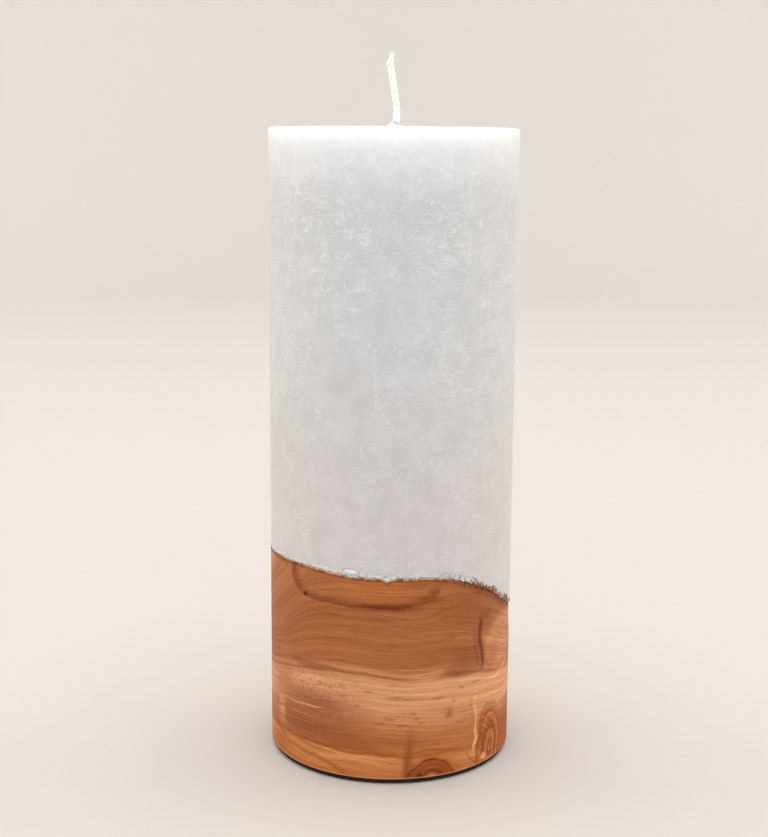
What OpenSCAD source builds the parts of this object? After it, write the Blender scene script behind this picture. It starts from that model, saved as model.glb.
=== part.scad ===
// Unity candle: a crystalline wax pillar cast on an olive-wood foot whose top is cut in a wave.
// Origin: centre of the underside. +Z is up, and the front of the candle faces -Y.
// All sizes are in millimetres.

/* [Pillar] */
// Diameter shared by the wax pillar and the wood foot
pillar_d = 78; // [50:1:100]
// Height from the table to the flat top of the wax
pillar_h = 200; // [150:1:250]
// Radius of the rounded rim at the top of the wax
rim_r = 1.2; // [0.4:0.1:4]

/* [Wave] */
// Height of the level middle of the wave above the table
wave_h = 66.3; // [40:0.1:90]
// How far the broad hump on the left stands above the level middle
hump_rise = 1.3; // [0.2:0.1:4]
// Distance of the hump's crest from the pillar's axis
hump_x = 28; // [20:1:36]
// Radius of the hump
hump_r = 100; // [60:1:200]
// Distance from the axis of the low crest on the right, where the wood rolls over
roll_x = 9; // [0:1:14]
// How far that crest stands above the level middle
roll_rise = 0.1; // [0.05:0.05:1]
// Radius of the rolled right side
roll_r = 34; // [30.5:0.5:60]

/* [Wood foot] */
// Width of the small bevel round the bottom edge of the wood
foot_bevel = 0.8; // [0.2:0.1:3]
// Diameter of each blind hole that the wax keys into
key_d = 9; // [5:0.5:14]
// Depth of the key holes below the level middle of the wave
key_depth = 18; // [8:1:30]
// Lean of the key holes: they run outwards as they go down
key_lean = 14; // [5:1:20]
// Distance of each key hole from the axis at the level middle of the wave
key_place_r = 22; // [20:0.5:24]
// Diameter of the flat seat cut for the wick sustainer
seat_d = 22; // [21:0.5:24]
// Depth of that seat below the level middle of the wave
seat_depth = 1.5; // [1:0.1:4]

/* [Felt disc] */
// Thickness of the felt disc under the wood
felt_t = 1.5; // [0.5:0.1:3]
// Distance of the felt's edge inside the edge of the wood
felt_inset = 1; // [0.5:0.1:6]

/* [Wick] */
// Thickness of the braided cotton wick
wick_d = 2.2; // [1.5:0.1:4]
// Distance of the wick to the right of the axis
wick_x = 0.7; // [0:0.1:2]
// Thickness of the frayed end of the wick
wick_tip_d = 1.2; // [0.6:0.1:2]
// Height of the little wax cone round the wick where it leaves the top
collar_h = 1.5; // [0.5:0.1:4]
// Diameter of that wax cone at its foot
collar_d = 7; // [4:0.5:14]

/* [Wick sustainer] */
// Diameter of the sheet-metal disc
sustainer_d = 20; // [12:0.5:20.5]
// Thickness of the sheet metal
sheet_t = 0.4; // [0.2:0.1:0.8]
// Height of the crimped neck above the underside of the disc
neck_h = 6.5; // [4:0.5:10]

/* [Hidden] */
$fn = 96;

pillar_r = pillar_d / 2;
// Length of the wave's cylinders along Y, clear of the pillar on both sides
across = pillar_d + 20;
// Cuts run past the faces that they open by this much
past = 5;

// The wave is three surfaces, all straight along Y: hump, level middle and roll
hump_centre_z = wave_h + hump_rise - hump_r;
roll_centre_z = wave_h + roll_rise - roll_r;

seat_z = wave_h - seat_depth;
neck_r = wick_d / 2 + sheet_t;
// Radius of the bend between the disc and the neck of the sustainer
neck_bend_r = 0.8;

// Route of the wick's free end: steps right, back and up from where it leaves the wax
wick_steps = [[0, 0, 7.2], [-1.2, 0.2, 13.8], [-2.1, 0.4, 19.8], [-1.6, 0.5, 23.2]];
wick_top = [for (step = wick_steps) [wick_x + step[0], step[1], pillar_h + step[2]]];
wick_path = concat([[wick_x, 0, seat_z]], wick_top);
// The ball at each bend is slightly thicker than the wick, so that the runs meet inside it
bend_d = wick_d + 0.12;

// Straight cylinder along Y, centred on the plane y = 0
module bar_along_y(radius, x, z) {
    translate([x, 0, z])
        rotate([90, 0, 0])
            cylinder(r = radius, h = across, center = true, $fn = 180);
}

// Everything from the felt up to the wave, wider than the pillar
module below_wave() {
    intersection() {
        union() {
            // Hump: the crown of a wide cylinder, which sinks below the level middle
            bar_along_y(hump_r, -hump_x, hump_centre_z);
            // Level middle
            translate([-hump_x, -across, 0])
                cube([hump_x + roll_x, 2 * across, wave_h]);
            // Roll: the right shoulder falls away along an arc
            bar_along_y(roll_r, roll_x, roll_centre_z);
            translate([0, -across, 0])
                cube([across, 2 * across, roll_centre_z]);
        }
        translate([-across, -across, felt_t])
            cube([2 * across, 2 * across, pillar_h]);
    }
}

// Wood cylinder with a small bevel round its bottom edge
module wood_blank() {
    translate([0, 0, felt_t])
        cylinder(r1 = pillar_r - foot_bevel, r2 = pillar_r, h = foot_bevel);
    translate([0, 0, felt_t + foot_bevel])
        cylinder(r = pillar_r, h = pillar_h / 2);
}

// Blind holes left and right that lean outwards as they go down, so that the wax can't lift out
module key_plugs() {
    length = key_depth / cos(key_lean);
    for (side = [0, 180])
        rotate([0, 0, side])
            translate([key_place_r + key_depth * tan(key_lean), 0, wave_h - key_depth])
                rotate([0, -key_lean, 0])
                    cylinder(d = key_d, h = length + past);
}

// Flat seat for the sustainer, open upwards
module seat_cut() {
    translate([wick_x, 0, seat_z])
        cylinder(d = seat_d, h = seat_depth + past);
}

// Outline of the sustainer on one side of its axis, from its underside at z = 0
module sustainer_outline(bore_r) {
    difference() {
        union() {
            translate([bore_r, 0]) square([sustainer_d / 2 - bore_r, sheet_t]);
            translate([bore_r, 0]) square([neck_r - bore_r, neck_h]);
            translate([bore_r, 0]) square([neck_r + neck_bend_r - bore_r, sheet_t + neck_bend_r]);
        }
        translate([neck_r + neck_bend_r, sheet_t + neck_bend_r]) circle(r = neck_bend_r);
    }
}

// Sustainer, or with bore_r = 0 the space that it takes up in the wax
module sustainer_solid(bore_r) {
    translate([wick_x, 0, seat_z])
        rotate_extrude()
            sustainer_outline(bore_r);
}

// Round cord from one point to the next, with ball joints at the bends
module cord_run(start, end, start_d, end_d) {
    run = end - start;
    length = norm(run);
    translate(start)
        rotate([0, acos(run[2] / length), atan2(run[1], run[0])])
            cylinder(d1 = start_d, d2 = end_d, h = length, $fn = 48);
}

// Wax pillar with its rounded rim and the little cone round the wick, down to the table
module wax_blank() {
    rotate_extrude()
        union() {
            square([pillar_r - rim_r, pillar_h]);
            square([pillar_r, pillar_h - rim_r]);
            translate([pillar_r - rim_r, pillar_h - rim_r]) circle(r = rim_r);
        }
    translate([wick_x, 0, pillar_h])
        cylinder(d1 = collar_d, d2 = wick_d, h = collar_h);
}

// Olive-wood foot: wavy top, key holes and the seat for the sustainer
module wood_base() {
    color("#b0713f")
        difference() {
            intersection() {
                wood_blank();
                below_wave();
            }
            key_plugs();
            seat_cut();
        }
}

// Wax pillar: its underside is the wave, and it fills the key holes and the seat
module wax_body() {
    color("#e9e9e6")
        difference() {
            union() {
                difference() {
                    wax_blank();
                    below_wave();
                    translate([0, 0, -past]) cube([across, across, 2 * past + 2 * felt_t], center = true);
                }
                key_plugs();
                seat_cut();
            }
            sustainer_solid(0);
            cord_run(wick_path[0], wick_path[1], wick_d, wick_d);
        }
}

// Braided cotton wick, whole: from the sustainer up through the wax to its frayed end
module wick() {
    last = len(wick_path) - 1;
    color("#f6f3ea")
        union() {
            for (i = [0 : last - 2])
                cord_run(wick_path[i], wick_path[i + 1], wick_d, wick_d);
            for (i = [1 : last - 1])
                translate(wick_path[i]) sphere(d = bend_d, $fn = 48);
            cord_run(wick_path[last - 1], wick_path[last], wick_d, wick_tip_d);
        }
}

// Stamped sheet-metal disc with a neck that is crimped round the wick
module wick_sustainer() {
    color("#b9bcc0")
        sustainer_solid(wick_d / 2);
}

// Thin dark felt disc glued to the flat underside of the wood
module felt_disc() {
    color("#3a2a22")
        cylinder(r = pillar_r - felt_inset, h = felt_t);
}

wood_base();
wax_body();
wick();
wick_sustainer();
felt_disc();
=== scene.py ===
import math
import random

import bpy
import numpy as np
from mathutils import Matrix, Vector, noise


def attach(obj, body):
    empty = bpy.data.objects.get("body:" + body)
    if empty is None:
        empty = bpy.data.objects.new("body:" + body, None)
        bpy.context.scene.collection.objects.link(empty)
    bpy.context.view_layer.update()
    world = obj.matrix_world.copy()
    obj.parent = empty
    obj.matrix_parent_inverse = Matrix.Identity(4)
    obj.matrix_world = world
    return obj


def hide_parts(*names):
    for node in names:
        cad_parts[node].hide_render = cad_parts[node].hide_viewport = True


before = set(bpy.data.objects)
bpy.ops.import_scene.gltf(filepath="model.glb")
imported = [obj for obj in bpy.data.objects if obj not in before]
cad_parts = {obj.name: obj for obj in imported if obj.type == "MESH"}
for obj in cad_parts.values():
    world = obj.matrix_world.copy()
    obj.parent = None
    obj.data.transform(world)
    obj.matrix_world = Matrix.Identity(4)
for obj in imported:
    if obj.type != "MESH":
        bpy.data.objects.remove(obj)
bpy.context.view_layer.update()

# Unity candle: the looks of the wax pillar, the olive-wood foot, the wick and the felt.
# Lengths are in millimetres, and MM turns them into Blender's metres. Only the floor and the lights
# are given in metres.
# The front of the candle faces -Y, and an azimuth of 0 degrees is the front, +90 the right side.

MM = 0.001

# ---------------------------------------------------------------- driving dimensions
PILLAR_R = 39.0
PILLAR_H = 200.0
RIM_R = 1.2
WAVE_H = 66.3
HUMP_RISE = 1.3
HUMP_X = -28.0
HUMP_R = 100.0
ROLL_X = 9.0
ROLL_RISE = 0.1
ROLL_R = 34.0
FELT_T = 1.5
FELT_INSET = 1.0
FOOT_BEVEL = 0.8
WICK_X = 0.7
WICK_R = 1.1
SEAT_Z = 64.8

# Width of the outer zone where the cut between wax and wood turns ragged
RAGGED_W = 3.0
# Points round each ring of the wax, the wood and the felt
COLUMNS = 800


# ---------------------------------------------------------------- camera, stage and light
def make_camera():
    """Camera at the photograph's viewing angle: just above the rim, half a metre away."""
    data = bpy.data.cameras.new("camera")
    data.sensor_fit = "HORIZONTAL"
    data.sensor_width = 36.0
    data.lens = 74.1
    data.clip_start = 0.01
    camera = bpy.data.objects.new("camera", data)
    bpy.context.scene.collection.objects.link(camera)
    looks_down = 11.29
    tilt = 0.40
    place = Matrix.Translation(Vector((-2.5, -497.8, 207.5)) * MM)
    pitch = Matrix.Rotation(math.radians(90.0 - looks_down), 4, "X")
    roll = Matrix.Rotation(math.radians(tilt), 4, "Z")
    camera.matrix_world = place @ pitch @ roll
    bpy.context.scene.camera = camera


def plain_material(name, colour, roughness):
    material = bpy.data.materials.new(name)
    material.use_nodes = True
    shader = material.node_tree.nodes["Principled BSDF"]
    shader.inputs["Base Color"].default_value = (*colour, 1.0)
    shader.inputs["Roughness"].default_value = roughness
    return material


def make_stage():
    """Plain pale floor that curves up all round in one wide bend."""
    flat = 1.2
    bend = 0.9
    bend_degrees = 80.0
    bend_steps = 14
    turns = 96
    outline = [(flat, 0.0)]
    for step in range(1, bend_steps + 1):
        turn = math.radians(bend_degrees * step / bend_steps)
        outline.append((flat + bend * math.sin(turn), bend * (1.0 - math.cos(turn))))
    verts = [(0.0, 0.0, 0.0)]
    for radius, height in outline:
        for i in range(turns):
            angle = 2.0 * math.pi * i / turns
            verts.append((radius * math.cos(angle), radius * math.sin(angle), height))
    faces = [(0, 1 + i, 1 + (i + 1) % turns) for i in range(turns)]
    for row in range(len(outline) - 1):
        a = 1 + row * turns
        for i in range(turns):
            j = (i + 1) % turns
            faces.append((a + i, a + turns + i, a + turns + j, a + j))
    mesh = bpy.data.meshes.new("floor")
    mesh.from_pydata(verts, [], faces)
    mesh.polygons.foreach_set("use_smooth", [True] * len(faces))
    floor = bpy.data.objects.new("floor", mesh)
    bpy.context.scene.collection.objects.link(floor)
    mesh.materials.append(plain_material("pale_floor", (0.53, 0.505, 0.48), 0.9))


def area_light(name, place, target, size, power, colour=(1.0, 1.0, 1.0)):
    data = bpy.data.lights.new(name, "AREA")
    data.shape = "RECTANGLE"
    data.size, data.size_y = size
    data.energy = power
    data.color = colour
    light = bpy.data.objects.new(name, data)
    light.location = place
    aim = Vector(target) - Vector(place)
    light.rotation_euler = aim.to_track_quat("-Z", "Y").to_euler()
    bpy.context.scene.collection.objects.link(light)


def make_lights():
    """Soft boxes overhead, in front and at the sides, washes on the backdrop, and a pale sky."""
    middle = (0.0, 0.0, 0.10)
    warm = (1.0, 0.79, 0.60)
    area_light("overhead", (0.0, 0.05, 0.95), middle, (0.8, 0.8), 7.2)
    area_light("front_box", (0.0, -1.6, 0.75), middle, (1.8, 1.1), 6.7)
    for side in (-1.0, 1.0):
        area_light("side_box", (1.45 * side, 0.30, 0.70), middle, (0.9, 0.7), 5.4, warm)
        area_light("wall_wash", (0.0, 0.7 * side, 1.5), (0.0, 2.5 * side, 0.45), (2.6, 0.5), 24.0)
        area_light("side_wash", (0.7 * side, 0.0, 1.5), (2.5 * side, 0.0, 0.45), (2.0, 0.5), 10.0)
    world = bpy.data.worlds.new("pale_sky")
    world.use_nodes = True
    sky = world.node_tree.nodes["Background"]
    sky.inputs["Color"].default_value = (1.0, 1.0, 1.0, 1.0)
    sky.inputs["Strength"].default_value = 0.58
    bpy.context.scene.world = world
    bpy.context.scene.view_settings.view_transform = "Standard"


make_camera()
make_stage()
make_lights()


# ---------------------------------------------------------------- shape helpers
def smooth_step(low, high, value):
    t = np.clip((np.asarray(value, float) - low) / (high - low), 0.0, 1.0)
    return t * t * (3.0 - 2.0 * t)


def wobble(points, scale, seed=0.0):
    """Smooth noise in -1..1 at each point (an array of x, y, z), with blobs about `scale` mm wide."""
    shift = Vector((seed * 17.3, seed * 5.1, seed * 9.7))
    flat = np.asarray(points, float).reshape(-1, 3) / scale
    values = [noise.noise(Vector(p) + shift) for p in flat]
    return np.array(values).reshape(np.asarray(points).shape[:-1])


def soft_max(a, b, blend):
    """The larger of a and b, rounded where they cross over about `blend` mm."""
    h = np.clip(0.5 + 0.5 * (a - b) / blend, 0.0, 1.0)
    return b + (a - b) * h + blend * h * (1.0 - h)


def wave_z(x):
    """Height of the wavy cut at x: hump on the left, level middle, rolled right shoulder."""
    x = np.asarray(x, float)
    hump = WAVE_H + HUMP_RISE - HUMP_R + np.sqrt(HUMP_R ** 2 - (x - HUMP_X) ** 2)
    past_crest = np.maximum(x - ROLL_X, 0.0)
    roll = WAVE_H + ROLL_RISE - ROLL_R + np.sqrt(ROLL_R ** 2 - past_crest ** 2)
    return soft_max(hump, roll, 0.5) - 0.05


def skin(name, rings, loop=False):
    """Closed mesh through rings of points in mm, an array (rings, columns, 3).

    The last ring joins the first if `loop` is set; otherwise both ends are capped.
    """
    rings = np.asarray(rings, float)
    count, columns = rings.shape[:2]
    verts = (rings.reshape(-1, 3) * MM).tolist()
    faces = []
    for row in range(count if loop else count - 1):
        a = row * columns
        b = ((row + 1) % count) * columns
        for i in range(columns):
            j = (i + 1) % columns
            faces.append((a + i, a + j, b + j, b + i))
    ends = [] if loop else [(0, True), (count - 1, False)]
    for row, flip in ends:
        centre = len(verts)
        verts.append((rings[row].mean(axis=0) * MM).tolist())
        for i in range(columns):
            a = row * columns + i
            b = row * columns + (i + 1) % columns
            faces.append((b, a, centre) if flip else (a, b, centre))
    mesh = bpy.data.meshes.new(name)
    mesh.from_pydata(verts, [], faces)
    mesh.polygons.foreach_set("use_smooth", [True] * len(faces))
    return mesh


def add_piece(name, mesh, material):
    piece = bpy.data.objects.new(name, mesh)
    bpy.context.scene.collection.objects.link(piece)
    mesh.materials.append(material)
    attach(piece, "root")
    return piece


def join_shells(name, meshes):
    """One mesh out of several closed shells."""
    verts, faces = [], []
    for mesh in meshes:
        start = len(verts)
        verts.extend(v.co[:] for v in mesh.vertices)
        faces.extend([start + i for i in p.vertices] for p in mesh.polygons)
        bpy.data.meshes.remove(mesh)
    joined = bpy.data.meshes.new(name)
    joined.from_pydata(verts, [], faces)
    joined.polygons.foreach_set("use_smooth", [True] * len(faces))
    return joined


# Azimuth of each column, and the unit directions that go with it
AZIMUTH = np.arange(COLUMNS) * 2.0 * math.pi / COLUMNS
OUTWARD = np.stack([np.sin(AZIMUTH), -np.cos(AZIMUTH)], axis=1)


def ring(radius, height):
    """One ring of points; radius and height are numbers or one value per column."""
    radius = np.broadcast_to(radius, (COLUMNS,))
    height = np.broadcast_to(height, (COLUMNS,))
    return np.column_stack([OUTWARD * radius[:, None], height])


def arc_from(azimuth_deg):
    """Distance in mm along the wall from this azimuth to each column, negative to its left."""
    turn = AZIMUTH - math.radians(azimuth_deg)
    return PILLAR_R * (np.mod(turn + math.pi, 2.0 * math.pi) - math.pi)


# Where a blob of wax hangs over the edge of the wood
BLOB_AZIMUTH = -1.8


def edge_line():
    """Height of the line where wax meets wood on the outside, one value per column."""
    rim = ring(PILLAR_R, 0.0)
    live = smooth_step(14.0, 26.0, rim[:, 0])
    fine = wobble(rim, 1.1, seed=1.0)
    coarse = wobble(rim, 5.0, seed=2.0)
    blob = 0.75 * np.exp(-arc_from(BLOB_AZIMUTH) ** 2)
    return wave_z(rim[:, 0]) + (0.14 + 0.30 * live) * fine + (0.22 + 0.35 * live) * coarse - blob


EDGE = edge_line()


def inner_surface(radius):
    """Ring on the wavy cut at this radius; near the wall it follows the ragged edge."""
    flat = ring(radius, 0.0)
    share = float(smooth_step(PILLAR_R - RAGGED_W, PILLAR_R, radius))
    height = wave_z(flat[:, 0]) * (1.0 - share) + EDGE * share
    return ring(radius, height)


# ---------------------------------------------------------------- material helpers
def srgb(r, g, b):
    """Linear colour of a display colour given as 0-255."""
    return tuple(((c / 255.0 + 0.055) / 1.055) ** 2.4 if c > 10 else c / 3295.0 for c in (r, g, b))


class Graph:
    """A principled material whose nodes are added by short calls; values may be numbers or sockets."""

    def __init__(self, name, **constants):
        self.material = bpy.data.materials.new(name)
        self.material.use_nodes = True
        self.tree = self.material.node_tree
        self.shader = self.tree.nodes["Principled BSDF"]
        for socket, value in constants.items():
            self.shader.inputs[socket.replace("_", " ")].default_value = value

    def add(self, kind, inputs=(), **settings):
        node = self.tree.nodes.new("ShaderNode" + kind)
        for key, value in settings.items():
            setattr(node, key, value)
        for key, value in dict(inputs).items():
            self.set(node.inputs[key], value)
        return node

    def set(self, socket, value):
        if isinstance(value, bpy.types.NodeSocket):
            self.tree.links.new(value, socket)
        elif hasattr(value, "__len__") and len(value) == 3 and socket.type == "RGBA":
            socket.default_value = (*value, 1.0)
        else:
            socket.default_value = value

    def math(self, operation, a, b=0.0, c=0.0):
        node = self.add("Math", {0: a, 1: b, 2: c}, operation=operation)
        return node.outputs[0]

    def times(self, a, b):
        return self.math("MULTIPLY", a, b)

    def vector(self, operation, a, b=(0.0, 0.0, 0.0)):
        node = self.add("VectorMath", {0: a, 1: b}, operation=operation)
        return node.outputs["Value" if operation in ("LENGTH", "DOT_PRODUCT") else "Vector"]

    def combine(self, x, y, z):
        return self.add("CombineXYZ", {"X": x, "Y": y, "Z": z}).outputs[0]

    def place_mm(self):
        """Object coordinates in millimetres."""
        coords = self.add("TexCoord").outputs["Object"]
        return self.vector("MULTIPLY", coords, (1000.0, 1000.0, 1000.0))

    def noise(self, vector, scale, detail, roughness, colour=False):
        keys = {"Vector": vector, "Scale": scale, "Detail": detail, "Roughness": roughness}
        node = self.add("TexNoise", keys)
        return node.outputs["Color" if colour else "Fac"]

    def step(self, value, low, high, to_low=0.0, to_high=1.0):
        """Smooth step from to_low to to_high as value goes from low to high."""
        keys = {"Value": value, "From Min": low, "From Max": high, "To Min": to_low, "To Max": to_high}
        return self.add("MapRange", keys, interpolation_type="SMOOTHSTEP").outputs["Result"]

    def mix(self, share, a, b):
        """Colour a, with this share of colour b."""
        node = self.add("Mix", data_type="RGBA")
        self.set(node.inputs[0], share)
        self.set(node.inputs[6], a)
        self.set(node.inputs[7], b)
        return node.outputs[2]

    def ramp(self, value, stops):
        """Colour ramp through stops, each (position, colour)."""
        node = self.add("ValToRGB", {"Fac": value})
        elements = node.color_ramp.elements
        while len(elements) < len(stops):
            elements.new(0.5)
        for element, (position, colour) in zip(elements, stops):
            element.position = position
            element.color = (*colour, 1.0)
        return node.outputs["Color"]

    def bump(self, height, distance):
        return self.add("Bump", {"Height": height, "Distance": distance}).outputs["Normal"]

    def along_wall(self, axes, shift=0.0):
        """Millimetres along the wall from the front, positive to the right, plus a shift."""
        turn = self.math("ARCTAN2", axes["X"], self.times(axes["Y"], -1.0))
        return self.math("MULTIPLY_ADD", turn, PILLAR_R, shift)

    def away(self, along, up, centre, half):
        """Distance of (along, up) from a centre, in units of the half sizes."""
        sideways = self.math("DIVIDE", self.math("SUBTRACT", along, centre[0]), half[0])
        upward = self.math("DIVIDE", self.math("SUBTRACT", up, centre[1]), half[1])
        return self.vector("LENGTH", self.combine(sideways, upward, 0.0))

    def finish(self, **outputs):
        """Sets the shader's sockets and hands the material over."""
        for socket, value in outputs.items():
            self.set(self.shader.inputs[socket.replace("_", " ")], value)
        return self.material


# ---------------------------------------------------------------- wax
# Blobs that stand proud of the wax wall, as (azimuth in degrees, mm above the edge line of their middle,
# half width along the wall, half height, height out of the wall), the last three in mm
LARGE_BLOBS = (
    (BLOB_AZIMUTH, 0.10, 1.35, 1.15, 0.55),
    (-4.8, 0.55, 1.50, 0.55, 0.30),
    (-18.2, 1.60, 2.70, 0.80, 0.42),
    (-13.9, 1.20, 1.60, 0.50, 0.30),
    (-9.0, 0.60, 1.10, 0.40, 0.28),
)


def small_blobs(count=150):
    """Chips and droplets scattered all the way round, close above the edge."""
    dice = random.Random(11)
    blobs = []
    for _ in range(count):
        width = dice.uniform(0.45, 1.0)
        blobs.append((dice.uniform(-180.0, 180.0), dice.uniform(0.1, 0.9), width,
                      width * dice.uniform(0.5, 0.9), width * dice.uniform(0.18, 0.34)))
    return blobs


BLOBS = LARGE_BLOBS + tuple(small_blobs())


def proud(rise):
    """How far the wax stands out of the wall at this height above the edge line, one value per column."""
    out = np.zeros(COLUMNS)
    for azimuth, middle, half_width, half_height, height in BLOBS:
        away = (arc_from(azimuth) / half_width) ** 2 + ((rise - middle) / half_height) ** 2
        out = np.maximum(out, height * np.sqrt(np.maximum(0.0, 1.0 - away)))
    return out


def top_height(radius):
    """Height of the wax's top: nearly level, with a low mound that leans to the left of the wick."""
    flat = ring(radius, 0.0)
    lean = 1.3
    away = np.hypot(flat[:, 0] - (WICK_X - lean), flat[:, 1])
    mound = 2.2 * np.exp(-((away / 2.0) ** 2))
    uneven = 0.10 * wobble(flat, 9.0, seed=3.0) + 0.04 * wobble(flat, 2.5, seed=4.0)
    calm = 1.0 - smooth_step(PILLAR_R - 5.0, PILLAR_R - RIM_R, radius)
    return PILLAR_H + mound + uneven * calm


def wax_wall(rise, share):
    """Ring of the outer wall: it follows the ragged edge at the bottom and is level at the rim."""
    height = EDGE * (1.0 - share) + (PILLAR_H - RIM_R) * share
    level = ring(PILLAR_R, height)
    ripple = 0.045 * wobble(level, 14.0, seed=9.0) + 0.02 * wobble(level, 3.5, seed=10.0)
    calm = smooth_step(0.0, 0.03, share) * smooth_step(1.0, 0.96, share)
    return ring(PILLAR_R - 0.05 * calm + ripple * calm + proud(rise), height)


def wax_mesh():
    """Pillar from the wavy cut up the wall, over the rim and the top, and down into the wick."""
    bore = WICK_R - 0.15
    rings = [inner_surface(r) for r in np.linspace(bore, PILLAR_R - RAGGED_W, 14)]
    rings += [inner_surface(r) for r in (PILLAR_R - 2.0, PILLAR_R - 1.0, PILLAR_R - 0.3)]
    rings[-1][:, 2] = EDGE
    rings.append(ring(PILLAR_R - 0.05 + 0.7 * proud(0.0), EDGE + 0.06))
    wall = PILLAR_H - RIM_R - WAVE_H
    fine = np.arange(0.2, 3.1, 0.22)
    rises = np.concatenate([fine, np.arange(3.5, 8.0, 1.0), np.linspace(10.0, wall, 36)])
    rings += [wax_wall(rise, rise / wall) for rise in rises]
    rim_steps = 8
    for step in range(1, rim_steps + 1):
        turn = math.radians(90.0 * step / rim_steps)
        radius = PILLAR_R - RIM_R * (1.0 - math.cos(turn))
        rings.append(ring(radius, PILLAR_H - RIM_R + RIM_R * math.sin(turn)))
    for r in (37.0, 36.0, 34.5, 33.0, 31.0, 29.0, 26.5, 24.0, 21.5, 19.0, 16.5, 14.0, 11.5, 9.5, 8.0):
        rings.append(ring(r, top_height(r)))
    for r in (6.8, 5.8, 5.0, 4.3, 3.7, 3.1, 2.6, 2.1, 1.7, 1.35, 0.9, 0.35):
        # Near the wick the rings shift so that they end in it, where the wax has soaked in
        level = ring(r, top_height(r))
        level[:, 0] += WICK_X * float(smooth_step(7.0, 2.0, r))
        rings.append(level)
    rings.append(ring(bore, PILLAR_H - 2.0))
    rings = np.array(rings)
    rings[-1][:, 0] += WICK_X
    rings[0][:, 0] += WICK_X
    return skin("wax_pillar", rings, loop=True)


def wall_frame(g):
    """Unit vectors that lie in the surface, sideways and upwards."""
    outward = g.add("NewGeometry").outputs["Normal"]
    across = g.vector("NORMALIZE", g.vector("CROSS_PRODUCT", (0.05, 0.02, 1.0), outward))
    return across, g.vector("CROSS_PRODUCT", outward, across)


def crystal_fans(g, place, directions, size, seed):
    """Rays of feathery crystals that fan out from scattered centres about `size` mm apart."""
    moved = g.vector("ADD", place, (seed * 31.0, seed * 17.0, seed * 53.0))
    bend = g.noise(moved, 2.2 / size, 1.0, 0.5, colour=True)
    bend = g.vector("MULTIPLY", g.vector("SUBTRACT", bend, (0.5, 0.5, 0.5)), (0.7 * size,) * 3)
    scaled = g.vector("MULTIPLY", g.vector("ADD", moved, bend), (1.0 / size,) * 3)
    cells = g.add("TexVoronoi", {"Vector": scaled, "Scale": 1.0}).outputs
    offset = g.vector("MULTIPLY", g.vector("SUBTRACT", scaled, cells["Position"]), (size,) * 3)
    sideways = g.vector("DOT_PRODUCT", offset, directions[0])
    upward = g.vector("DOT_PRODUCT", offset, directions[1])
    turn = g.math("ARCTAN2", upward, sideways)
    reach = g.math("SQRT", g.math("MULTIPLY_ADD", upward, upward, g.times(sideways, sideways)))
    own = g.add("SeparateXYZ", {0: cells["Color"]}).outputs
    fanned = g.times(turn, 4.6)
    drawn_out = g.times(reach, 0.42)
    spot = g.combine(fanned, drawn_out, g.times(own["X"], 90.0))
    rays = g.noise(spot, 1.0, 2.0, 0.55)
    rays = g.step(rays, 0.50, 0.63)
    # Some fans are strong, some faint, and each is open on one side
    strength = g.step(own["Y"], 0.10, 0.70, 0.35, 1.0)
    facing = g.math("COSINE", g.math("MULTIPLY_ADD", own["Z"], 6.28, turn))
    open_side = g.step(facing, -0.8, 0.2, 0.25, 1.0)
    return g.times(g.times(rays, strength), open_side)


def calm_patch(g, feathers, along, up, centre, half):
    """Thins the crystals out in a patch, given as millimetres along the wall and up."""
    return g.times(feathers, g.step(g.away(along, up, centre, half), 0.6, 1.2, 0.12, 1.0))


def crystal_vein(g, feathers, along, up, start, end, width, strength):
    """Soft thread of crystal that runs up the wall from start to end."""
    share = g.math("DIVIDE", g.math("SUBTRACT", up, start[1]), end[1] - start[1])
    line = g.math("MULTIPLY_ADD", share, end[0] - start[0], start[0])
    across = g.math("ABSOLUTE", g.math("SUBTRACT", along, line))
    reach = g.step(g.math("ABSOLUTE", g.math("SUBTRACT", share, 0.5)), 0.52, 0.38)
    thread = g.times(g.step(across, width, width * 0.2), reach)
    return g.math("MAXIMUM", feathers, g.times(thread, strength))


def ridge_outline(g, colour, axes, rise, blob):
    """Paler wax on one of the large blobs, with a thin greyish outline of painted shade where it meets the
    wall.
    """
    azimuth, middle, half_width, half_height, _ = blob
    centre = (PILLAR_R * math.radians(azimuth), middle)
    away = g.away(g.along_wall(axes), rise, centre, (half_width, half_height))
    colour = g.mix(g.step(away, 1.0, 0.5, 0.0, 0.65), colour, srgb(238, 243, 250))
    # Painted shade: a thin greyish line round the blob's outline
    rim = g.step(g.math("ABSOLUTE", g.math("SUBTRACT", away, 1.0)), 0.24, 0.06, 0.0, 0.40)
    return g.mix(rim, colour, srgb(158, 142, 132))


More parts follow.
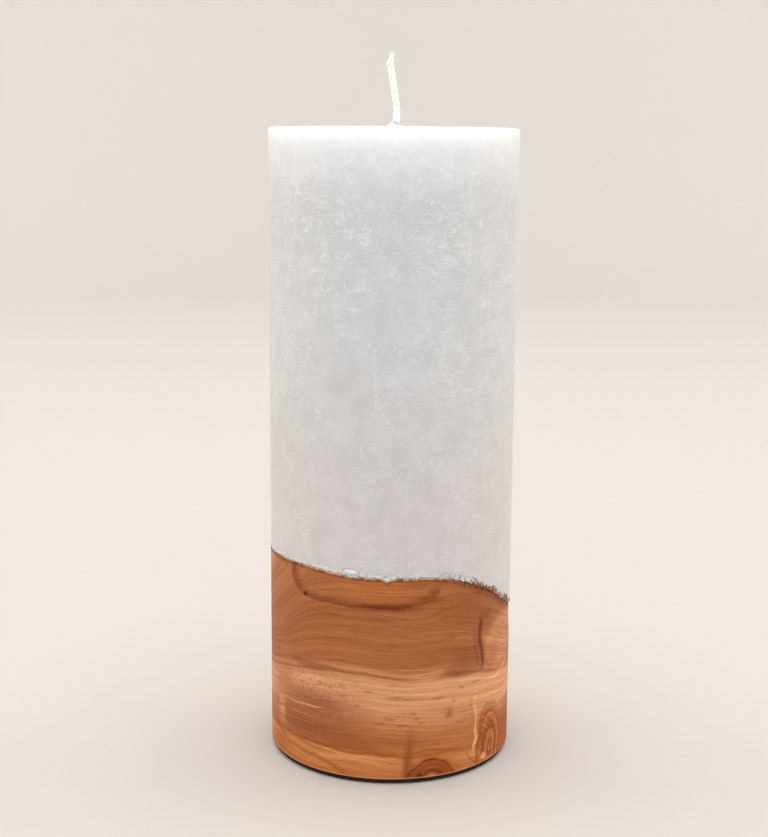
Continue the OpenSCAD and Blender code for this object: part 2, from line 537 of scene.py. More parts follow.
def wax_material():
    """White wax with feathery crystals, warmer near the wood, with a painted highlight towards the rim and
    chips at the edge.
    """
    g = Graph("crystal_wax", IOR=1.44, Specular_IOR_Level=0.4,
              Subsurface_Weight=1.0, Subsurface_Scale=0.006)
    g.shader.inputs["Subsurface Radius"].default_value = (1.0, 0.94, 0.88)
    place = g.place_mm()
    axes = g.add("SeparateXYZ", {0: place}).outputs
    directions = wall_frame(g)
    large = crystal_fans(g, place, directions, 9.0, 1.0)
    middle = crystal_fans(g, place, directions, 5.5, 2.0)
    small = crystal_fans(g, place, directions, 3.2, 3.0)
    where = g.noise(place, 0.07, 2.0, 0.5)
    large = g.times(large, g.step(where, 0.40, 0.55, 0.35, 1.0))
    small = g.times(small, g.step(where, 0.55, 0.42, 0.30, 0.8))
    feathers = g.math("MAXIMUM", large, g.times(middle, 0.85))
    feathers = g.math("MAXIMUM", feathers, small)
    # The crystals are strong near the rim and faint near the wood
    feathers = g.times(feathers, g.step(axes["Z"], 70.0, 180.0, 0.42, 1.05))
    # Between the fans, finer strokes lie nearly level
    bend = g.noise(place, 0.30, 2.0, 0.5, colour=True)
    strokes = g.vector("ADD", g.vector("MULTIPLY", place, (0.34, 0.34, 1.5)), bend)
    strokes = g.step(g.noise(strokes, 1.0, 2.0, 0.6), 0.50, 0.60)
    strokes = g.times(strokes, g.step(g.noise(place, 0.12, 2.0, 0.5), 0.44, 0.58, 0.15, 0.75))
    strokes = g.times(strokes, g.step(axes["Z"], 70.0, 150.0, 0.35, 0.60))
    feathers = g.math("MAXIMUM", g.times(feathers, 0.80), strokes)
    # Two calm patches left of the middle, and two faint threads of crystal
    sway = g.math("MULTIPLY_ADD", g.noise(place, 0.35, 2.0, 0.5), 2.4, -1.2)
    along = g.along_wall(axes, sway)
    up = g.math("ADD", axes["Z"], sway)
    feathers = calm_patch(g, feathers, along, up, (-13.5, 123.0), (8.0, 9.0))
    feathers = calm_patch(g, feathers, along, up, (-5.0, 144.0), (7.0, 6.0))
    broken = g.step(g.noise(place, 0.7, 2.0, 0.6), 0.40, 0.60, 0.15, 0.60)
    feathers = crystal_vein(g, feathers, along, up, (0.6, 112.0), (-4.4, 119.0), 1.0, broken)
    feathers = crystal_vein(g, feathers, along, up, (-5.0, 116.0), (-5.4, 138.0), 0.8, broken)
    cloud = g.step(g.noise(place, 0.16, 3.0, 0.55), 0.3, 0.7)
    colour = g.mix(cloud, srgb(202, 205, 207), srgb(210, 213, 215))
    warm = g.mix(cloud, srgb(204, 200, 200), srgb(210, 207, 207))
    colour = g.mix(g.step(axes["Z"], 150.0, 80.0), colour, warm)
    colour = g.mix(g.times(feathers, 0.62), colour, srgb(240, 243, 245))
    # Painted highlight: the wall turns whiter towards the rim, where light from above shines through the
    # wax
    colour = g.mix(g.step(axes["Z"], 176.0, 199.0, 0.0, 0.55), colour, srgb(248, 252, 255))

    # The flat top is plain, and greyer than the painted highlight on the rim
    colour = g.mix(g.step(axes["Z"], 199.4, 200.0), colour, srgb(210, 212, 213))

    # Along the edge: bright chips, gaps that show the wood, blobs outlined with painted shade, and bark on
    # the live side
    rise = g.add("Attribute", attribute_name="above_edge").outputs["Fac"]
    chips = g.noise(g.vector("MULTIPLY", place, (1.5, 1.5, 1.3)), 1.0, 3.0, 0.6)
    bright = g.times(g.step(chips, 0.47, 0.53), g.step(rise, 1.7, 0.3))
    colour = g.mix(bright, colour, srgb(255, 252, 248))
    gaps = g.times(g.step(chips, 0.43, 0.39, 0.0, 0.7), g.step(rise, 0.8, 0.3))
    colour = g.mix(gaps, colour, srgb(148, 88, 50))
    for blob in (LARGE_BLOBS[0], LARGE_BLOBS[2]):
        colour = ridge_outline(g, colour, axes, rise, blob)
    live = g.times(g.step(axes["X"], 13.0, 24.0), g.step(axes["Y"], 24.0, 4.0))
    flecks = g.noise(g.vector("MULTIPLY", place, (1.1, 1.1, 0.62)), 1.0, 4.0, 0.70)
    clumps = g.noise(place, 0.24, 2.0, 0.5)
    reach = g.math("ADD", g.step(rise, 0.0, 3.4, 0.42, 0.68), g.step(clumps, 0.35, 0.65, 0.07, -0.10))
    flecks = g.step(g.math("SUBTRACT", flecks, reach), 0.0, 0.05)
    flecks = g.times(flecks, g.step(rise, 3.4, 2.0))
    colour = g.mix(g.times(flecks, g.times(live, 0.95)), colour, srgb(124, 62, 26))

    roughness = g.step(feathers, 0.0, 1.0, 0.46, 0.34)
    return g.finish(Base_Color=colour, Roughness=roughness, Normal=g.bump(feathers, 0.05 * MM))


def mark_edge_distance(mesh, name, sign):
    """Stores how many mm each point is above (sign 1) or below (sign -1) the wax's edge, 0 at least."""
    points = np.zeros(len(mesh.vertices) * 3)
    mesh.vertices.foreach_get("co", points)
    points = points.reshape(-1, 3) / MM
    turn = np.mod(np.arctan2(points[:, 0], -points[:, 1]), 2.0 * math.pi)
    edge = np.interp(turn, np.append(AZIMUTH, 2.0 * math.pi), np.append(EDGE, EDGE[0]))
    layer = mesh.attributes.new(name, "FLOAT", "POINT")
    layer.data.foreach_set("value", np.maximum(sign * (points[:, 2] - edge), 0.0))


wax = add_piece("wax_pillar", wax_mesh(), wax_material())
mark_edge_distance(wax.data, "above_edge", 1.0)
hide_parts("wax_body")


# ---------------------------------------------------------------- olive wood
# Light that the gloss adds to every colour on the front of the candle
FACE_VEIL = 0.010
DARKEST = 0.002


def shown(r, g, b):
    """Base colour that shows as this 0-255 display colour on the front of the candle."""
    return tuple(max(c - FACE_VEIL, DARKEST) for c in srgb(r, g, b))


class Figure:
    """Draws patches and lines of wood figure over its colour, in unrolled wall coordinates.

    A place is (along, up): millimetres along the wall from the front, to the right, and above the table.
    """

    def __init__(self, graph, place, streaks, colour):
        self.g = graph
        self.streaks = streaks
        self.colour = colour
        axes = graph.add("SeparateXYZ", {0: place}).outputs
        self.along = graph.along_wall(axes)
        self.up = axes["Z"]
        flat = graph.combine(self.along, self.up, 0.0)
        wander = graph.noise(place, 0.10, 2.0, 0.5, colour=True)
        wander = graph.vector("SUBTRACT", wander, (0.5, 0.5, 0.5))
        wander = graph.vector("MULTIPLY", wander, (5.0, 2.2, 0.0))
        self.flat = graph.vector("ADD", flat, wander)
        self.flat_axes = graph.add("SeparateXYZ", {0: self.flat}).outputs

    def scaled(self, centre, half):
        """Offset from a centre, in units of the half sizes."""
        offset = self.g.vector("SUBTRACT", self.flat, (centre[0], centre[1], 0.0))
        return self.g.vector("MULTIPLY", offset, (1.0 / half[0], 1.0 / half[1], 0.0))

    def lay(self, share, colour, streaky):
        """Mixes a colour in, less where the streaks of the grain are low."""
        broken = self.g.step(self.streaks, 0.38, 0.60, 1.0 - streaky, 1.0)
        self.colour = self.g.mix(self.g.times(share, broken), self.colour, shown(*colour))

    def patch(self, centre, half, colour, strength, soft, streaky):
        """Soft-edged patch of another colour, broken up by the grain."""
        away = self.g.vector("LENGTH", self.scaled(centre, half))
        share = self.g.step(away, 1.0 + soft / 2, 1.0 - soft, 0.0, strength)
        self.lay(share, colour, streaky)

    def mottle(self, centre, half, colour, strength):
        """Patch of small flecks."""
        away = self.g.vector("LENGTH", self.scaled(centre, half))
        flecks = self.g.noise(self.g.vector("MULTIPLY", self.flat, (0.9, 1.6, 1.0)), 1.0, 3.0, 0.65)
        flecks = self.g.step(flecks, 0.50, 0.66, 0.0, strength)
        share = self.g.times(self.g.step(away, 1.3, 0.5), flecks)
        self.colour = self.g.mix(share, self.colour, shown(*colour))

    def stroke(self, across, width, between, ends, colour, strength, streaky):
        """Soft line where `across` is near 0, between two values of `ends`, faded at each end."""
        ink = self.g.step(self.g.math("ABSOLUTE", across), width, width * 0.15, 0.0, strength)
        low, high = between
        middle = (low + high) / 2.0
        half = (high - low) / 2.0
        away = self.g.math("ABSOLUTE", self.g.math("SUBTRACT", ends, middle))
        share = self.g.times(ink, self.g.step(away, half, half * 0.5))
        self.lay(share, colour, streaky)

    def line(self, start, end, sag, width, colour, strength):
        """Line from start to end that sags by `sag` mm in the middle."""
        share = self.g.math("DIVIDE", self.g.math("SUBTRACT", self.along, start[0]), end[0] - start[0])
        straight = self.g.math("MULTIPLY_ADD", share, end[1] - start[1], start[1])
        hollow = self.g.times(share, self.g.math("SUBTRACT", 1.0, share))
        level = self.g.math("MULTIPLY_ADD", hollow, -4.0 * sag, straight)
        across = self.g.math("SUBTRACT", self.flat_axes["Y"], level)
        self.stroke(across, width, (0.0, 1.0), share, colour, strength, 0.3)

    def upright(self, along, low, high, width, colour, strength):
        """Upright line from low to high."""
        across = self.g.math("SUBTRACT", self.flat_axes["X"], along)
        self.stroke(across, width, (low, high), self.up, colour, strength, 0.1)

    def knot(self, centre, half, rings, light, dark, strength):
        """Knot or swirl: uneven rings round a centre, in place of the plain grain."""
        away = self.g.vector("LENGTH", self.scaled(centre, half))
        spot = self.g.combine(self.g.times(away, rings), centre[0], centre[1])
        lines = self.g.noise(spot, 1.0, 3.0, 0.75)
        fill = self.g.mix(self.g.step(lines, 0.38, 0.62), shown(*dark), shown(*light))
        self.colour = self.g.mix(self.g.step(away, 1.10, 0.80, 0.0, strength), self.colour, fill)

    def loop(self, centre, half, power, width, colour, strength):
        """Soft line along a rounded outline, such as the eye of a growth ring that grazes the wall.

        A power of 2 is an ellipse, and higher powers are squarer.
        """
        scaled = self.g.vector("ABSOLUTE", self.scaled(centre, half))
        axes = self.g.add("SeparateXYZ", {0: scaled}).outputs
        sideways = self.g.math("POWER", axes["X"], power)
        summed = self.g.math("ADD", sideways, self.g.math("POWER", axes["Y"], power))
        away = self.g.math("SUBTRACT", self.g.math("POWER", summed, 1.0 / power), 1.0)
        away = self.g.times(away, half[1])
        inside = self.g.step(away, -2.6 * width, -0.1 * width)
        outside = self.g.step(away, width, 0.0)
        share = self.g.times(self.g.times(inside, outside), strength)
        self.lay(share, colour, 0.5)


def front_figure(figure):
    """The figure that the front and the right of this piece of olive wood show."""
    # Pale band across the middle: mottled and rusty on its left, with short dark dashes
    figure.patch((-27.0, 18.6), (22.0, 9.6), (152, 90, 57), 0.90, 0.7, 0.5)
    figure.patch((-24.0, 25.0), (13.0, 2.6), (148, 87, 55), 0.70, 0.8, 0.5)
    figure.patch((-31.0, 16.4), (9.0, 2.6), (140, 80, 48), 0.65, 0.9, 0.5)
    figure.patch((-12.0, 13.4), (22.0, 2.6), (150, 88, 52), 0.80, 0.9, 0.4)
    figure.line((-45.0, 21.0), (-20.0, 22.8), -0.3, 0.42, (220, 166, 128), 0.75)
    figure.line((-42.0, 18.2), (-22.0, 19.4), -0.2, 0.30, (206, 150, 112), 0.50)
    figure.line((-41.0, 15.6), (-25.0, 17.0), -0.2, 0.26, (198, 140, 102), 0.45)
    figure.mottle((-27.0, 19.0), (17.0, 7.5), (126, 72, 44), 0.55)
    figure.patch((-42.5, 19.0), (3.2, 8.0), (208, 150, 108), 0.70, 0.9, 0.4)
    for along, up, length in ((-22.5, 31.0, 1.0), (-26.0, 27.4, 1.2), (-11.0, 25.1, 1.2), (1.5, 28.3, 2.8),
                              (15.0, 27.6, 2.4), (6.6, 23.0, 0.9), (7.4, 21.2, 1.0), (9.2, 19.8, 1.6),
                              (-19.0, 30.2, 0.8), (21.0, 25.5, 0.9), (-7.0, 29.8, 1.8), (-30.0, 29.2, 1.0),
                              (-3.0, 20.0, 3.4), (3.5, 19.6, 2.6), (23.5, 29.5, 1.4), (-15.0, 27.8, 1.6)):
        figure.patch((along, up), (length, 0.50), (146, 88, 54), 0.60, 0.9, 0.2)
    figure.patch((19.5, 22.0), (1.9, 1.8), (156, 94, 58), 0.80, 0.9, 0.3)
    figure.patch((18.5, 35.0), (3.5, 1.4), (148, 90, 58), 0.60, 0.9, 0.3)
    figure.patch((-41.0, 27.5), (7.5, 5.5), (172, 110, 72), 0.75, 0.9, 0.4)
    figure.patch((-27.0, 35.8), (9.0, 1.5), (150, 90, 54), 0.80, 0.9, 0.3)
    figure.patch((11.0, 35.0), (6.0, 1.2), (206, 148, 106), 0.70, 0.9, 0.2)
    figure.mottle((-27.0, 30.0), (17.0, 6.0), (150, 92, 58), 0.65)
    # Upper brown zone: the eye of a grazing ring, darker wood on its right, faint rings on the far left
    figure.mottle((-32.0, 50.0), (13.0, 12.0), (146, 86, 54), 0.50)
    figure.mottle((6.0, 46.0), (26.0, 8.0), (146, 86, 52), 0.32)
    figure.patch((26.0, 55.5), (12.0, 7.0), (150, 90, 57), 0.75, 1.0, 0.5)
    figure.patch((9.0, 64.2), (6.0, 2.4), (142, 82, 42), 0.55, 1.0, 0.4)
    figure.patch((-3.0, 62.0), (14.0, 3.6), (182, 108, 58), 0.70, 1.0, 0.3)
    figure.loop((-9.7, 68.6), (25.0, 11.4), 3.6, 0.70, (118, 62, 32), 0.80)
    figure.patch((15.0, 66.4), (5.4, 4.2), (166, 100, 60), 0.95, 0.7, 0.0)
    figure.line((4.0, 60.4), (15.5, 60.8), 0.2, 0.45, (136, 76, 44), 0.65)
    figure.patch((-1.0, 57.2), (10.5, 1.15), (108, 48, 18), 0.95, 0.9, 0.2)
    figure.patch((-17.0, 58.4), (9.0, 1.2), (136, 78, 50), 0.70, 0.9, 0.2)
    figure.patch((13.0, 59.4), (4.0, 1.3), (132, 74, 40), 0.70, 0.9, 0.2)
    figure.patch((-28.3, 58.6), (0.9, 0.8), (70, 36, 22), 0.95, 0.6, 0.0)
    figure.line((-30.0, 54.5), (8.0, 54.0), 0.8, 0.50, (146, 86, 50), 0.55)
    figure.line((8.0, 54.0), (29.0, 58.4), 0.6, 0.45, (138, 80, 48), 0.60)
    figure.line((6.0, 51.5), (29.0, 55.4), 0.6, 0.40, (144, 84, 50), 0.50)
    figure.patch((25.0, 38.4), (8.0, 5.6), (148, 88, 56), 0.80, 1.0, 0.3)
    figure.patch((22.0, 34.2), (7.0, 1.6), (134, 74, 46), 0.70, 0.9, 0.3)
    figure.line((-40.0, 36.6), (-8.0, 35.2), -0.8, 0.50, (142, 84, 52), 0.70)
    figure.line((-16.0, 37.6), (22.0, 37.4), 0.2, 0.35, (200, 146, 108), 0.55)
    # Right end: paler wood beyond a dark seam, over a pale bowl of rings
    figure.patch((45.8, 40.6), (14.0, 8.6), (206, 143, 99), 0.92, 0.30, 0.15)
    figure.patch((38.5, 37.5), (4.6, 4.2), (180, 108, 66), 0.80, 0.9, 0.3)
    figure.patch((43.0, 24.0), (14.8, 7.0), (221, 160, 115), 0.90, 0.45, 0.2)
    figure.line((29.5, 31.2), (54.0, 36.6), 4.4, 0.60, (234, 180, 136), 0.80)
    figure.line((31.0, 33.4), (54.0, 38.6), 4.2, 0.40, (176, 112, 72), 0.60)
    figure.line((33.0, 29.0), (54.0, 33.4), 4.0, 0.35, (196, 134, 92), 0.50)
    figure.upright(31.4, 31.0, 54.0, 1.3, (112, 58, 34), 0.90)
    figure.upright(29.4, 33.0, 49.0, 0.9, (134, 76, 48), 0.60)
    figure.upright(33.2, 32.0, 46.0, 0.5, (168, 102, 62), 0.50)
    figure.patch((34.0, 51.0), (3.2, 1.6), (132, 78, 46), 0.70, 0.9, 0.3)
    figure.upright(28.0, 9.0, 27.0, 0.40, (178, 116, 76), 0.55)
    # Foot: warm orange wood with a half knot, a swirl and a dark vein
    figure.patch((50.0, 7.0), (12.0, 10.5), (158, 82, 36), 0.95, 0.7, 0.3)
    figure.patch((-43.0, 6.4), (7.5, 4.6), (170, 92, 46), 0.75, 0.9, 0.3)
    figure.knot((37.0, 6.0), (7.6, 15.0), 5.0, (196, 120, 70), (138, 70, 32), 0.90)
    for shift in (0.0, 2.3, 4.4, 6.6):
        start = (31.0, 18.6 - shift)
        end = (40.6 - 0.3 * shift, 9.6 - shift)
        figure.line(start, end, -2.6, 0.66, (140, 78, 44), 0.50)
        start = (31.6, 17.4 - shift)
        end = (40.2 - 0.3 * shift, 8.6 - shift)
        figure.line(start, end, -2.4, 0.40, (210, 142, 96), 0.4)
    figure.patch((32.8, 10.6), (2.2, 3.4), (132, 76, 46), 0.85, 1.0, 0.1)
    figure.loop((37.4, 8.6), (6.4, 12.4), 2.6, 0.60, (138, 74, 38), 0.50)
    figure.line((43.0, 12.0), (37.6, 1.8), 0.5, 0.50, (128, 66, 32), 0.75)
    figure.line((30.8, 8.0), (37.0, 4.6), 0.8, 0.45, (124, 64, 32), 0.70)
    figure.upright(29.6, 3.0, 30.0, 0.75, (228, 170, 124), 0.95)
    figure.line((25.0, 9.4), (30.6, 1.8), 0.9, 0.45, (118, 60, 28), 0.80)
    figure.patch((13.4, 1.6), (10.4, 9.8), (176, 100, 52), 0.80, 0.7, 0.3)
    figure.patch((13.8, 1.2), (7.6, 6.4), (140, 68, 24), 0.95, 0.45, 0.1)
    figure.loop((13.6, -0.6), (8.0, 8.0), 2.0, 0.50, (114, 52, 18), 0.90)
    figure.loop((13.4, -0.8), (5.6, 5.8), 2.0, 0.35, (176, 104, 56), 0.80)
    figure.loop((13.2, -0.8), (4.0, 4.4), 2.0, 0.35, (110, 52, 20), 0.80)
    figure.patch((12.4, 2.0), (2.0, 1.1), (196, 140, 84), 0.80, 0.9, 0.1)
    figure.patch((9.0, 2.6), (0.9, 1.3), (60, 28, 14), 0.85, 0.8, 0.1)
    figure.line((4.0, 9.6), (26.0, 9.2), -1.2, 0.45, (136, 74, 38), 0.65)
    figure.line((7.0, 11.0), (25.0, 11.0), -0.8, 0.35, (206, 140, 92), 0.55)
    figure.patch((34.0, 3.7), (1.5, 1.4), (234, 182, 124), 0.95, 0.7, 0.1)
    figure.patch((6.4, 6.0), (1.7, 11.0), (132, 68, 32), 0.80, 1.2, 0.1)
    figure.line((-40.0, 8.0), (-10.0, 1.8), -1.0, 1.30, (150, 84, 42), 0.60)
    figure.line((-50.0, 12.0), (-38.0, 8.4), 0.4, 0.80, (142, 76, 38), 0.70)
    figure.line((-38.0, 12.2), (6.0, 9.8), 1.0, 0.65, (148, 84, 44), 0.80)
    figure.line((-32.0, 10.6), (4.0, 8.6), 0.8, 0.50, (228, 162, 110), 0.80)


def back_figure(figure):
    """The eye of a ring, two knots and pale wood for the sides and the back, in the same character."""
    figure.loop((98.0, 46.0), (17.0, 9.0), 2.4, 0.6, (122, 66, 34), 0.42)
    figure.patch((98.0, 37.4), (9.0, 1.1), (124, 62, 28), 0.7, 0.9, 0.2)
    figure.patch((-100.0, 26.0), (20.0, 7.0), (206, 146, 104), 0.8, 0.8, 0.5)
    figure.patch((-76.0, 42.0), (9.0, 11.0), (158, 92, 52), 0.7, 0.9, 0.4)
    figure.knot((-76.0, 42.0), (6.5, 8.5), 3.6, (176, 106, 62), (134, 76, 42), 0.75)
    figure.knot((80.0, 12.0), (8.0, 6.5), 3.4, (184, 112, 66), (138, 76, 40), 0.75)


def ring_level(g, axes, place):
    """Growth-ring coordinate in mm: level at the front, and sloping down behind, more so higher up."""
    depth = g.math("ADD", axes["Y"], PILLAR_R)
    onset = 8.0
    rounded = g.math("SQRT", g.math("MULTIPLY_ADD", depth, depth, onset ** 2))
    rounded = g.math("SUBTRACT", rounded, onset)
    slope = g.step(axes["Z"], 0.0, 60.0, 0.02, 0.50)
    left = g.times(g.step(axes["X"], -16.0, -34.0), g.step(axes["Z"], 35.0, 48.0, 0.0, 0.36))
    slope = g.math("ADD", slope, left)
    level = g.math("MULTIPLY_ADD", rounded, slope, axes["Z"])
    slow = g.noise(place, 0.022, 1.0, 0.5)
    quick = g.noise(place, 0.09, 2.0, 0.5)
    level = g.math("MULTIPLY_ADD", g.math("SUBTRACT", slow, 0.5), 9.0, level)
    return g.math("MULTIPLY_ADD", g.math("SUBTRACT", quick, 0.5), 1.8, level)


# Growth zones: ring level in mm, and the display colour there
ZONES = (
    (0.0, (172, 100, 52)), (3.0, (196, 122, 72)), (8.0, (206, 136, 86)), (10.5, (170, 100, 54)),
    (11.6, (186, 114, 68)), (14.5, (180, 112, 70)), (18.0, (186, 118, 76)), (25.0, (210, 150, 108)),
    (32.5, (212, 154, 112)), (34.4, (200, 142, 101)), (35.2, (162, 100, 62)), (35.9, (198, 138, 98)),
    (36.8, (184, 124, 84)), (38.2, (170, 106, 67)), (50.0, (168, 105, 65)), (57.0, (166, 102, 63)),
    (68.0, (170, 107, 68)), (80.0, (178, 114, 74)), (87.0, (202, 143, 101)), (91.0, (162, 100, 61)),
    (100.0, (172, 108, 70)),
)
LAST_ZONE = ZONES[-1][0]


def wood_material():
    """Olive wood: growth zones, the drawn figure, the grain over both, and the edges, with a painted
    highlight on the bottom arris.
    """
    g = Graph("olive_wood", IOR=1.45, Specular_IOR_Level=0.14)
    place = g.place_mm()
    axes = g.add("SeparateXYZ", {0: place}).outputs
    level = ring_level(g, axes, place)

    def layered(step_along, step_up, detail, shift):
        """Noise drawn out along the growth rings."""
        along_x = g.times(axes["X"], step_along)
        along_y = g.math("MULTIPLY_ADD", axes["Y"], step_along, shift)
        return g.noise(g.combine(along_x, along_y, g.times(level, step_up)), 1.0, detail, 0.55)

    def graded(colour, value, low):
        """Darkens and lightens by a noise; `low` holds the least factor of red, green and blue."""
        factors = [g.step(value, 0.30, 0.70, share, 2.0 - share) for share in low]
        return g.vector("MULTIPLY", colour, g.combine(*factors))

    broad = layered(0.012, 0.26, 2.0, 0.0)
    streaks = layered(0.026, 1.05, 3.0, 9.0)
    fibres = layered(0.11, 3.8, 2.0, 21.0)
    zone = g.math("DIVIDE", level, LAST_ZONE)
    colour = g.ramp(zone, [(at / LAST_ZONE, shown(*rgb)) for at, rgb in ZONES])
    figure = Figure(g, place, streaks, colour)
    front_figure(figure)
    back_figure(figure)

    # Grain over everything: broad bands, streaks, fibres, fine dark veins and short pores
    colour = graded(figure.colour, broad, (0.95, 0.94, 0.93))
    colour = graded(colour, streaks, (0.89, 0.86, 0.83))
    colour = graded(colour, fibres, (0.92, 0.90, 0.88))
    vein = g.math("ABSOLUTE", g.math("SUBTRACT", layered(0.013, 0.40, 1.0, 40.0), 0.5))
    vein = g.times(g.step(vein, 0.014, 0.0, 0.0, 0.42), g.step(broad, 0.40, 0.58))
    colour = g.mix(vein, colour, shown(122, 70, 40))
    pores = g.times(g.step(layered(0.30, 2.4, 1.0, 60.0), 0.62, 0.74), g.step(streaks, 0.60, 0.42))
    colour = g.mix(g.times(pores, 0.40), colour, shown(112, 66, 40))

    # Along the top: a thin pale arris over a brown line, and dark fibrous wood on the live edge
    drop = g.add("Attribute", attribute_name="below_edge").outputs["Fac"]
    live = g.times(g.step(axes["X"], 12.0, 26.0), g.step(axes["Y"], 24.0, 4.0))
    sawn = g.math("SUBTRACT", 1.0, live)
    uneven = g.noise(place, 0.5, 2.0, 0.5)
    brown = g.times(g.step(drop, 1.5, 0.6), g.step(uneven, 0.35, 0.60, 0.35, 0.90))
    colour = g.mix(g.times(brown, sawn), colour, shown(116, 62, 32))
    pale = g.times(g.step(drop, 0.50, 0.30), g.step(uneven, 0.62, 0.46, 0.10, 0.85))
    pale = g.times(pale, g.step(axes["X"], -30.0, -18.0, 0.1, 1.0))
    colour = g.mix(g.times(pale, sawn), colour, shown(226, 176, 138))
    bark = g.noise(g.vector("MULTIPLY", place, (1.0, 1.0, 0.55)), 1.0, 4.0, 0.70)
    fringe = g.times(g.step(drop, 3.6, 0.2), g.step(bark, 0.40, 0.58, 0.30, 0.95))
    colour = g.mix(g.times(fringe, live), colour, shown(104, 56, 32))

    # The bottom arris gets a painted highlight: a pale band where it faces the bright floor
    painted_arris_highlight = g.step(axes["Z"], FELT_T + 1.0, FELT_T + 0.3, 0.0, 0.65)
    colour = g.mix(painted_arris_highlight, colour, shown(222, 170, 142))

    gloss = g.step(streaks, 0.3, 0.7, 0.56, 0.46)
    relief = g.math("SUBTRACT", g.times(fibres, 0.5), pores)
    return g.finish(Base_Color=colour, Roughness=gloss, Normal=g.bump(relief, 0.05 * MM))


def wood_mesh():
    """Foot with a ragged wavy top, a slightly undercut live edge on the right and a round bottom edge."""
    undercut = 0.35 * smooth_step(16.0, 32.0, OUTWARD[:, 0] * PILLAR_R)
    rings = [ring(r, FELT_T) for r in (8.0, 20.0, 30.0, PILLAR_R - 4.0)]
    bevel_steps = 6
    for step in range(bevel_steps + 1):
        turn = math.radians(90.0 * step / bevel_steps)
        radius = PILLAR_R - FOOT_BEVEL * (1.0 - math.sin(turn))
        rings.append(ring(radius, FELT_T + FOOT_BEVEL * (1.0 - math.cos(turn))))
    shares = np.concatenate([np.linspace(0.02, 0.9, 50), np.linspace(0.92, 0.994, 12)])
    low = FELT_T + FOOT_BEVEL
    for share in shares:
        radius = PILLAR_R - undercut * smooth_step(0.72, 0.98, share)
        rings.append(ring(radius, low * (1.0 - share) + (EDGE - 0.2) * share))
    rings.append(ring(PILLAR_R - 0.08 - undercut, EDGE - 0.07))
    rings.append(ring(PILLAR_R - 0.3 - undercut, EDGE))
    rings += [inner_surface(r) for r in (PILLAR_R - 1.0, PILLAR_R - 2.0)]
    rings += [inner_surface(r) for r in np.linspace(PILLAR_R - RAGGED_W, 1.0, 20)]
    return skin("wood_foot", rings)


wood = add_piece("wood_foot", wood_mesh(), wood_material())
mark_edge_distance(wood.data, "below_edge", -1.0)
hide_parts("wood_base")


# ---------------------------------------------------------------- wick
def spline_points(points, steps):
    """Catmull-Rom curve through points, `steps` points for each span."""
    points = [np.asarray(p, float) for p in points]
    padded = [2 * points[0] - points[1]] + points + [2 * points[-1] - points[-2]]
    curve = []
    for a, b, c, d in zip(padded, padded[1:], padded[2:], padded[3:]):
        for i in range(steps):
            t = i / steps
            curve.append(0.5 * (2 * b + (c - a) * t + (2 * a - 5 * b + 4 * c - d) * t ** 2
                                + (3 * b - a - 3 * c + d) * t ** 3))
    curve.append(points[-1])
    return np.array(curve)


def even_points(curve, spacing):
    """The same curve resampled at even spacing, and the length along it at each point."""
    lengths = np.concatenate([[0.0], np.cumsum(np.linalg.norm(np.diff(curve, axis=0), axis=1))])
    at = np.linspace(0.0, lengths[-1], int(lengths[-1] / spacing) + 1)
    return np.column_stack([np.interp(at, lengths, curve[:, k]) for k in range(3)]), at


def tube_rings(path, radii, sides):
    """Rings of a tube along path; the frame is kept from twisting."""
    tangents = np.gradient(path, axis=0)
    tangents /= np.linalg.norm(tangents, axis=1)[:, None]
    side = np.array([1.0, 0.0, 0.0])
    rings = []
    angles = np.arange(sides) * 2.0 * math.pi / sides
    for point, tangent, radius in zip(path, tangents, radii):
        side = side - tangent * np.dot(side, tangent)
        side /= np.linalg.norm(side)
        other = np.cross(tangent, side)
        rings.append(point + radius * (np.outer(np.cos(angles), side) + np.outer(np.sin(angles), other)))
    return np.array(rings)


def wick_meshes():
    """Three-strand cotton plait along the whole wick, with loose fibres at its tip."""
    top = PILLAR_H
    knots = [(WICK_X, 0.0, SEAT_Z), (WICK_X, 0.0, 130.0), (WICK_X, 0.0, top - 4.0),
             (WICK_X + 0.05, 0.0, top + 2.0), (WICK_X - 0.1, 0.1, top + 7.5),
             (WICK_X - 1.15, 0.2, top + 13.8), (WICK_X - 2.0, 0.4, top + 19.6),
             (WICK_X - 1.75, 0.5, top + 22.6)]
    centre, at = even_points(spline_points(knots, 40), 0.3)
    total = at[-1]
    pitch = 6.6
    half_width = 0.60
    half_depth = 0.34
    strand_r = 0.56
    taper = 1.0 - 0.5 * smooth_step(total - 3.0, total, at)
    shells = []
    for strand in range(3):
        phase = 2.0 * math.pi * (at / pitch + strand / 3.0)
        path = centre.copy()
        path[:, 0] += half_width * np.sin(phase) * taper
        path[:, 1] += half_depth * np.sin(2.0 * phase) * taper
        radii = strand_r * taper * (1.0 + 0.06 * wobble(path, 0.9, seed=5.0 + strand))
        # Each strand ends a little lower than the one before
        end = len(path) - 3 * strand
        tube = tube_rings(path[:end], radii[:end], 12)
        shells.append(skin("strand", tube))
    dice = random.Random(5)
    loose_fibres = 26
    for _ in range(loose_fibres):
        start = centre[-1] + [dice.uniform(-0.4, 0.4), dice.uniform(-0.4, 0.4), -dice.uniform(0.6, 2.5)]
        lean = np.array([dice.uniform(-0.5, 0.5), dice.uniform(-0.4, 0.4), dice.uniform(0.7, 1.0)])
        length = dice.uniform(0.8, 1.9)
        curl = np.array([dice.uniform(-0.3, 0.3), dice.uniform(-0.3, 0.3), 0.0])
        t = np.linspace(0.0, 1.0, 7)[:, None]
        path = start + lean * length * t + curl * t ** 2
        radii = np.linspace(0.06, 0.03, 7)
        shells.append(skin("fibre", tube_rings(path, radii, 5)))
    return shells


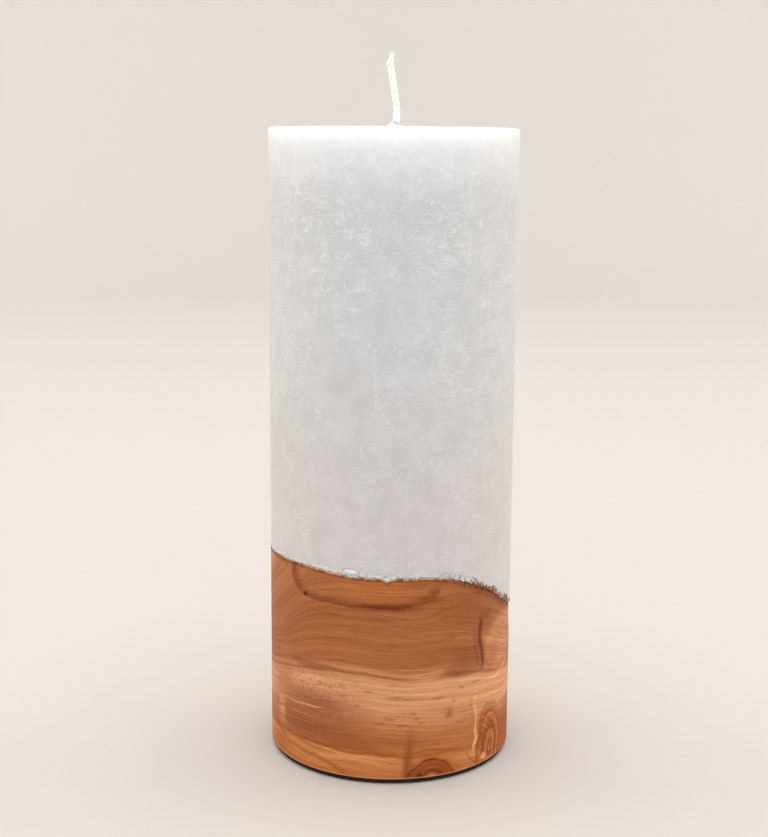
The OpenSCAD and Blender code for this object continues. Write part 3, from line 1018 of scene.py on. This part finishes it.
def wick_material():
    g = Graph("cotton_wick", Sheen_Weight=0.3, Sheen_Roughness=0.5)
    place = g.place_mm()
    fibre = g.noise(g.vector("MULTIPLY", place, (5.0, 5.0, 1.4)), 1.0, 3.0, 0.6)
    colour = g.mix(g.step(fibre, 0.35, 0.65), srgb(240, 239, 235), srgb(254, 254, 252))
    return g.finish(Base_Color=colour, Roughness=0.6, Normal=g.bump(fibre, 0.08 * MM))


plait = join_shells("braided_wick", wick_meshes())
wick = add_piece("braided_wick", plait, wick_material())
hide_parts("wick")


# ---------------------------------------------------------------- felt and sustainer
def felt_shade_material():
    g = Graph("dark_felt")
    place = g.place_mm()
    fluff = g.noise(place, 3.0, 4.0, 0.7)
    # Painted shade: the felt is near black so that the band under the foot reads as deep shadow
    colour = g.mix(g.step(fluff, 0.3, 0.7), srgb(24, 14, 10), srgb(44, 28, 20))
    return g.finish(Base_Color=colour, Roughness=0.95, Normal=g.bump(fluff, 0.2 * MM))


def felt_mesh():
    """Pressed-felt disc with a slightly fluffy edge."""
    radius = PILLAR_R - FELT_INSET
    fluff = 0.12 * wobble(ring(radius, 0.0), 0.7, seed=8.0)
    round_off = 0.12
    rings = [ring(r, 0.0) for r in (10.0, 20.0, 30.0, radius - 1.0, radius - 0.25)]
    rings.append(ring(radius - 0.05 + fluff, round_off))
    rings.append(ring(radius + fluff, 0.5))
    rings.append(ring(radius + 0.6 * fluff, 1.0))
    rings.append(ring(radius - 0.05 + fluff, FELT_T - round_off))
    rings += [ring(r, FELT_T) for r in (radius - 0.2, radius - 1.0, 30.0, 20.0, 10.0)]
    return skin("felt", rings)


def steel_material():
    g = Graph("tinned_steel", Metallic=1.0)
    place = g.place_mm()
    scuffs = g.noise(g.vector("MULTIPLY", place, (0.4, 6.0, 1.0)), 1.0, 3.0, 0.6)
    colour = g.mix(g.step(scuffs, 0.3, 0.7), srgb(188, 190, 194), srgb(214, 216, 219))
    return g.finish(Base_Color=colour, Roughness=g.step(scuffs, 0.3, 0.7, 0.28, 0.42))


# The felt disc under the foot, whose near-black colour is painted shade for the gap and contact shadow
# there
felt = add_piece("felt_foot_and_shade", felt_mesh(), felt_shade_material())
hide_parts("felt_disc")
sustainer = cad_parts["wick_sustainer"]
sustainer.data.materials.clear()
sustainer.data.materials.append(steel_material())
